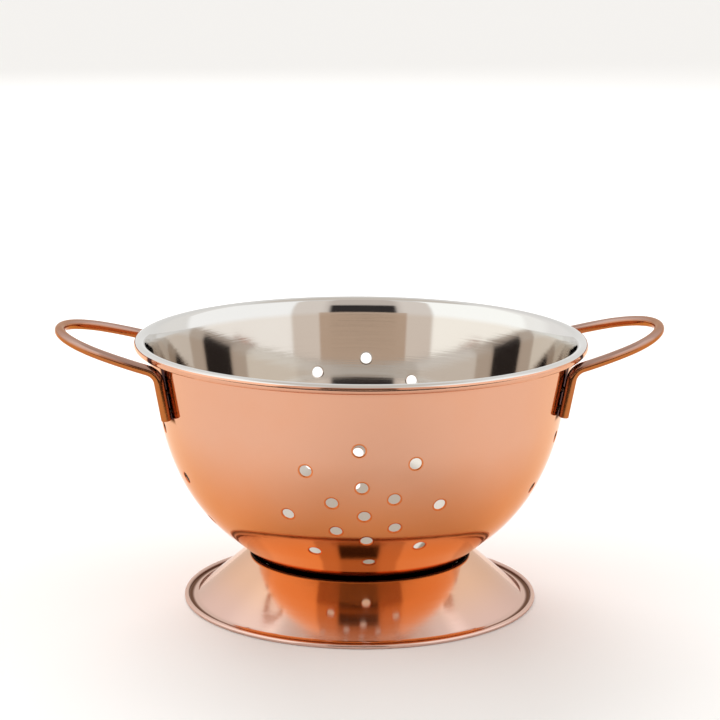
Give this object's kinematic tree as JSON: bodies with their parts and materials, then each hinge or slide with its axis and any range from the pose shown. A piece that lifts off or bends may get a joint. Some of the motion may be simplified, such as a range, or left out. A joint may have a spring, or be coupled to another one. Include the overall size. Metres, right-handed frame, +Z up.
{
  "type": "footed colander",
  "caption": "Round sheet-metal colander with groups of drain holes, a flared foot ring and two bent-rod loop handles, copper-coloured outside and bare steel inside.",
  "frame": {"origin": "centre of the foot's resting plane", "axes": "+Z up along the bowl's axis; the two handles lie along +X and -X; -Y is the side the object is seen from"},
  "size_m": [0.262, 0.195, 0.1214],
  "materials": {
    "copper_finish": "copper-plated, polished with fine turning lines",
    "steel": "bright, lightly brushed"
  },
  "bodies": {
    "root": {"bowl": "copper_finish", "foot_ring": "copper_finish", "left_handle": "copper_finish", "right_handle": "copper_finish", "handle_welds": "steel", "foot_welds": "steel"}
  },
  "joints": []
}
